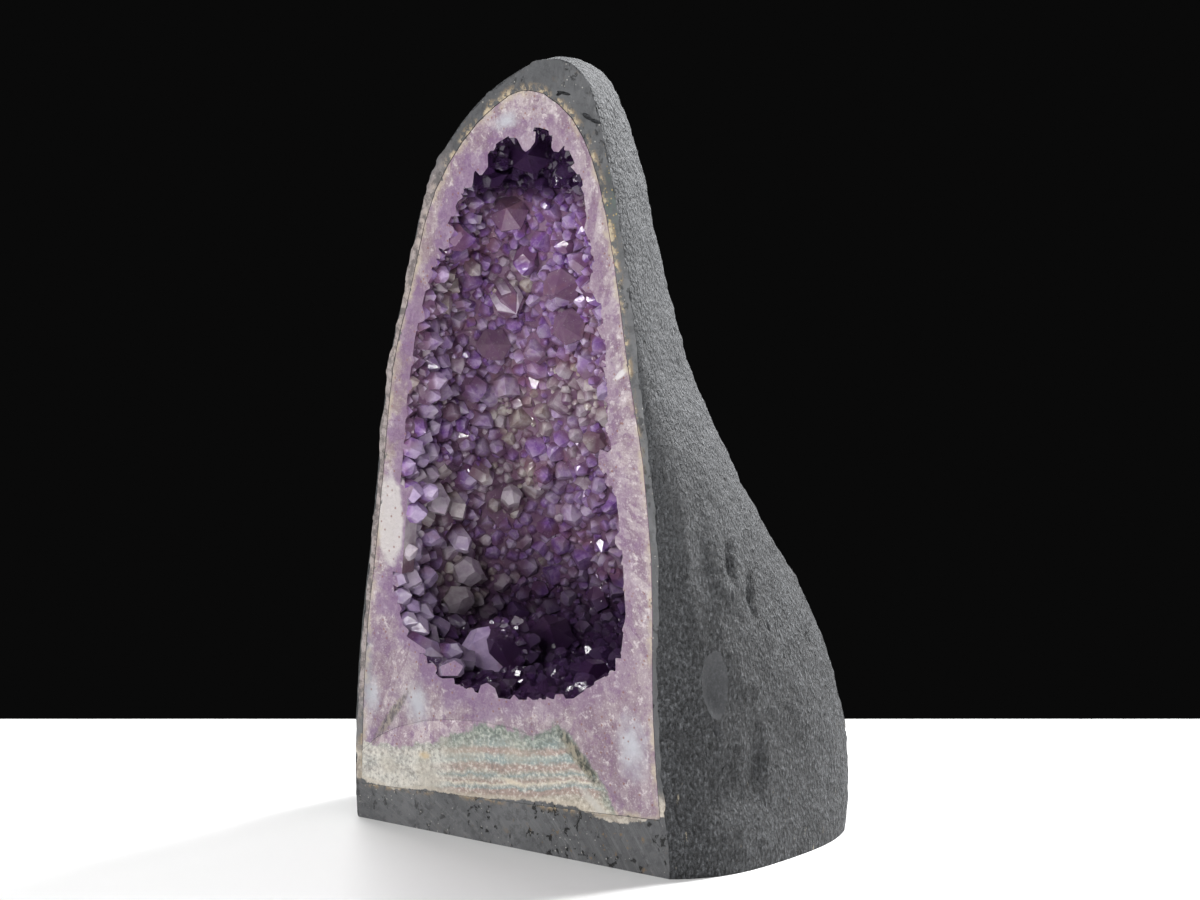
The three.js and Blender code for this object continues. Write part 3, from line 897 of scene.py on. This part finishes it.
# The great points, one by one: place, the way each grows, radius, rise, tint, form and lit.
# Each turns a tip face out of the hollow, to the right.
TURNED_OUT = Vector((0.6, -0.75, 0.3))
CLEARANCE = 1.1  # how far round a great point is clear, in its radii
GREAT = [
    ((-0.054, CUT + 0.0596, 0.0845), (0.25, -0.9, 0.2), 0.0174, 1.6, 0.7, BROAD_FACED, 1),
    ((-0.0493, CUT + 0.092, 0.0865), (0.6, -0.5, 0.6), 0.0144, 1.0, 0.8, 1, 0.35),
    ((-0.007, CUT + 0.0622, 0.2642), (0.3, -0.95, 0.1), 0.0104, 1.45, 0.4, 0, 0),
    ((-0.06, CUT + 0.0598, 0.2519), (0.6, -0.8, 0.1), 0.0099, 1.45, 0.45, 0, 0),
    ((-0.0322, CUT + 0.041, 0.3215), (0.5, -0.8, 0.3), 0.0109, 1.4, 0.35, 1, 0),
    ((-0.0098, CUT + 0.0311, 0.3566), (0.5, -0.8, -0.1), 0.0124, 1.2, 0.9, 0, 0.3),
    ((-0.0067, CUT + 0.0542, 0.2874), (0.3, -0.9, -0.3), 0.0113, 1.3, 0.2, 3, 0),
    ((-0.0482, CUT + 0.0522, 0.2817), (0.75, -0.35, -0.5), 0.0089, 2.4, 0.0, 1, 0),
    ((-0.0862, CUT + 0.036, 0.1765), (0.75, -0.3, -0.55), 0.0072, 3.2, 0.0, 1, 0),
    ((-0.0862, CUT + 0.052, 0.168), (0.8, -0.3, -0.45), 0.0062, 2.9, 0.1, 2, 0),
    ((-0.0835, CUT + 0.055, 0.148), (0.8, -0.35, -0.4), 0.006, 2.6, 0.1, 1, 0),
    ((-0.085, CUT + 0.062, 0.127), (0.85, -0.45, 0.15), 0.0085, 2.1, 0.3, 1, 0),
    ((-0.0835, CUT + 0.052, 0.112), (0.85, -0.45, 0.25), 0.0085, 2.1, 0.4, 3, 0),
    ((-0.066, CUT + 0.08, 0.166), (0.55, -0.6, 0.45), 0.006, 2.4, 0.0, 0, 0),
]
for place, way, radius, rise, tint, form, lit in GREAT:
    plant(Vector(place), Vector(way), radius, rise, tint, form, lit, TURNED_OUT)
    # Nothing else grew where a great point stands.
    for share in (0.5, 1.0):
        stands = Vector(place) + Vector(way).normalized() * radius * rise * share
        keep_clear(stands, radius * CLEARANCE)

# A row of longer, paler points leans in from the left wall, just behind the cut.
ROW = 44
ROW_DEPTHS = (0.005, 0.017, 0.028, 0.011)  # behind the cut, taken in turn
ROW_FOOT, ROW_HEIGHT = 0.086, 0.125
LONG_REACH, SHORT_REACH = 0.0165, 0.009  # at the foot of the row, and at its top
quartz.data.update()
for k in range(ROW):
    share = k / (ROW - 1)
    inside = Vector((0, CUT + ROW_DEPTHS[k % len(ROW_DEPTHS)], ROW_FOOT + ROW_HEIGHT * share))
    wall = quartz.ray_cast(inside, Vector((-1, 0, 0)))[1]
    way = Vector((1, chance.uniform(-0.3, 0.1), chance.uniform(-0.3, 0.45)))
    radius = chance.uniform(0.0036, 0.0072)
    reach = chance.uniform(0.7, 1.2) * (LONG_REACH - (LONG_REACH - SHORT_REACH) * share)
    plant(wall, way, radius, reach / radius, chance.uniform(0.2, 0.9), chance.randrange(3), 0.3)

# One pale blade stands upright at the left edge, cut in half lengthways by the saw.
BLADE_FOOT = Vector((-0.082, CUT + 0.004, 0.14))
plant(BLADE_FOOT, Vector((0.1, 0, 1)), radius=0.0105, length=4.6, tint=0.0, form=1, lit=0.5)


def any_spot():
    """A place on the wall of the hollow and the way out of the wall there, by chance."""
    which = int(np.searchsorted(areas, chance.random() * areas[-1]))
    a, b, c = corners[min(which, len(corners) - 1)]
    u, v = chance.random(), chance.random()
    if u + v > 1:
        u, v = 1 - u, 1 - v
    return a + (b - a) * u + (c - a) * v, (b - a).cross(c - a).normalized()


SIZES = [  # radii from, to; tries; how close two may stand, as a share of their radii together
    (0.0060, 0.0078, 700, 1.0),
    (0.0042, 0.0058, 4000, 0.8),
    (0.0027, 0.0040, 12000, 0.68),
    (0.0016, 0.0025, 9000, 0.72),
]
NEAR_CUT, SHORTER = 0.011, 0.62  # points this near the cut rise by this share of the others
LEFT_EDGE, LEFT_DEPTH = -0.05, 0.03  # left of here and this near the cut, points are paler
for low, high, tries, crowding in SIZES:
    for _ in range(tries):
        at, normal = any_spot()
        radius = chance.uniform(low, high)
        gaps = np.linalg.norm(middles - np.array(at), axis=1)
        if (gaps < crowding * (radii + radius)).any():
            continue
        inwards = -off_midline(at).normalized()
        stray = Vector([chance.gauss(0, 0.24) for _ in range(3)])
        way = inwards * 0.6 + normal * 0.4 + stray
        rise = chance.uniform(0.75, 1.35) * (1 if at.y > CUT + NEAR_CUT else SHORTER)
        tint = chance.random() * (0.5 if at.x < LEFT_EDGE and at.y < CUT + LEFT_DEPTH else 1)
        plant(at, way, radius, rise, tint, chance.randrange(BROAD_FACED + 1))

grown = quartz.modifiers.new("points", "BOOLEAN")
grown.operation = "UNION"
grown.operand_type = "COLLECTION"
grown.collection = points
grown.solver = "MANIFOLD"
apply_modifiers(quartz)
for each in list(points.objects):
    mesh = each.data
    bpy.data.objects.remove(each)
    bpy.data.meshes.remove(mesh)

# The points stay inside the rind and off the agate, and the saw took off what grew past the cut.
bpy.ops.mesh.primitive_cube_add(size=1, location=(0, CUT - 0.5, 0.5))
sawn_off = bpy.context.object
bpy.ops.object.transform_apply(location=True)
combine(quartz, "INTERSECT", lining)
combine(quartz, "DIFFERENCE", agate, sawn_off)
bpy.data.objects.remove(sawn_off)
bpy.data.objects.remove(lining)

# How far each point of the cut is from the rock and from the open hollow.
front = {i for f in quartz.data.polygons if on_cut(f) for i in f.vertices}
behind = {i for f in quartz.data.polygons if faces_midline(f) for i in f.vertices}
edge = KDTree(len(front & behind))
for i in front & behind:
    edge.insert(quartz.data.vertices[i].co, i)
edge.balance()
measure(quartz, "rim", lambda at: rock_side.find_nearest(at)[3])
measure(quartz, "inner", lambda at: edge.find(at)[2])


def add_absorption(finish):
    """Light that goes through the crystal turns violet."""
    inputs = {"Color": (0.70, 0.50, 0.84, 1), "Density": 40.0}
    body = finish.node("VolumeAbsorption", {}, inputs)
    finish.tree.links.new(body.socket, finish.output.inputs["Volume"])
    return finish.material


def amethyst():
    """The points: white to deep violet, red-brown at the root, some of them smoky, with painted shade at
    the roots and deep in the hollow.
    """
    stone = Finish("amethyst")
    tint, pale, rise, lit = (stone.attribute(name) for name in ("tint", "pale", "rise", "lit"))
    core = stone.noise(0.005, 4, 0.6)
    cloud = stone.noise(0.035, 3, 0.5)
    lilac = stone.mix(core.over(0.35, 0.65), (0.80, 0.67, 0.83), (0.54, 0.37, 0.66))
    violet = stone.mix(core.over(0.35, 0.65), (0.50, 0.31, 0.63), (0.26, 0.11, 0.42))
    deeper = stone.z.over(0.24, 0.31) * 0.3
    shade = stone.mix((tint * 0.8 + cloud * 0.4 + deeper).over(0.15, 0.95), lilac, violet)
    smoky = stone.mix(core.over(0.35, 0.65), (0.80, 0.74, 0.67), (0.50, 0.40, 0.35))
    shade = stone.mix(pale, shade, smoky)
    # The roots are red-brown in part, and in part darkened as painted shade in the gaps between the
    # points.
    shade = stone.mix(rise.over(0.7, 0.0) * 0.8, shade, (0.20, 0.085, 0.15))
    shade = stone.mix(rise.over(0.8, 1.3) * 0.35, shade, (0.86, 0.78, 0.92))
    rusty = stone.noise(0.02, 3, 0.6, stone.moved(shift=(5, 0, 0))).over(0.56, 0.66)
    shade = stone.mix(rusty * 0.35, shade, (0.34, 0.15, 0.17))
    speck = stone.noise(0.0016, 3, 0.7).over(0.6, 0.72)
    shade = stone.mix(speck * 0.35, shade, (0.92, 0.86, 0.95))
    # Painted shade: points high in the throat and low at the foot of the hollow are painted near black,
    # less so by their lit share.
    dark = stone.z.over(0.324, 0.34) * 0.96 + stone.z.over(0.15, 0.09) * 0.93
    shade = stone.mix(dark * (1 - lit), shade, (0.03, 0.010, 0.05))
    relief = stone.bump(stone.noise(0.0025, 3, 0.6), 0.0002)
    rough = 0.03 + stone.noise(0.006, 3).over(0.5, 0.75) * 0.16
    stone.surface(
        Base_Color=shade, Roughness=rough, IOR=1.544, Transmission_Weight=0.3, Normal=relief
    )
    return add_absorption(stone)


def sawn_quartz():
    """The wall where the saw went through it."""
    stone = Finish("sawn_quartz")
    grain = stone.noise(0.0016, 4, 0.7)
    relief = stone.bump(grain, 0.0006)
    relief = stone.bump(stone.noise(0.005, 4, 0.65), 0.0012, relief)
    rough = 0.22 + grain * 0.35
    stone.surface(
        Base_Color=sawn_colours(stone), Roughness=rough, IOR=1.544, Transmission_Weight=0.12, Normal=relief
    )
    return add_absorption(stone)


quartz.data.materials.clear()
quartz.data.materials.append(amethyst())
quartz.data.materials.append(sawn_quartz())
for face in quartz.data.polygons:
    face.material_index = 1 if on_cut(face) else 0
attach(quartz, "root")
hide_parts("amethyst_druse")

# --- the place it stands: table, lights and camera --------------------------------------------
# A plain white table in a dark room, with soft lights from the front, from above and from behind.

AIM = Vector((0.0605, CUT, 0.2106))
AZIMUTH, ELEVATION, DISTANCE = math.radians(39), math.radians(7), 1.6
TABLE_DEPTH = 0.36  # from the geode to the far edge of the table
TABLE_WIDTH = 4.0


def from_aim(azimuth, elevation, distance):
    """A place round the geode: azimuth from the front to the right, elevation up."""
    flat = math.cos(elevation) * distance
    way = Vector((math.sin(azimuth) * flat, -math.cos(azimuth) * flat, math.sin(elevation) * distance))
    return AIM + way


bpy.ops.mesh.primitive_plane_add(size=1, location=(0, 0, 0))
table = bpy.context.object
table.name = "table"
table.scale = (TABLE_WIDTH, TABLE_WIDTH, 1)
table.location = from_aim(AZIMUTH, 0, TABLE_WIDTH / 2 - TABLE_DEPTH)
table.location.z = 0
table.rotation_euler.z = AZIMUTH
bpy.ops.object.transform_apply(location=True, rotation=True, scale=True)
white = Finish("white_table")
table.data.materials.append(white.surface(Base_Color=(0.8, 0.8, 0.8, 1), Roughness=0.5))


def softbox(name, azimuth, elevation, distance, size, power):
    light = bpy.data.lights.new(name, "AREA")
    light.shape = "RECTANGLE"
    light.size, light.size_y = size
    light.energy = power
    lamp = bpy.data.objects.new(name, light)
    lamp.location = from_aim(math.radians(azimuth), math.radians(elevation), distance)
    lamp.rotation_euler = (AIM - lamp.location).to_track_quat("-Z", "Y").to_euler()
    bpy.context.scene.collection.objects.link(lamp)


softbox("key", -10, 24, 1.7, (0.35, 0.35), 11)
softbox("fill", 22, 16, 1.7, (0.35, 0.35), 10)
softbox("flank", 167, 42, 1.6, (0.4, 0.7), 88)
softbox("top", 40, 80, 1.4, (1.0, 1.0), 9)
softbox("back", 240, 30, 1.8, (1.0, 1.0), 20)

world = bpy.data.worlds.new("dark room")
bpy.context.scene.world = world
world.use_nodes = True
world.node_tree.nodes["Background"].inputs["Color"].default_value = (0.003, 0.003, 0.003, 1)
bpy.context.scene.view_settings.view_transform = "Standard"

lens = bpy.data.cameras.new("camera")
lens.lens = 96.9
camera = bpy.data.objects.new("camera", lens)
camera.location = from_aim(AZIMUTH, ELEVATION, DISTANCE)
camera.rotation_euler = (AIM - camera.location).to_track_quat("-Z", "Y").to_euler()
bpy.context.scene.collection.objects.link(camera)
bpy.context.scene.camera = camera
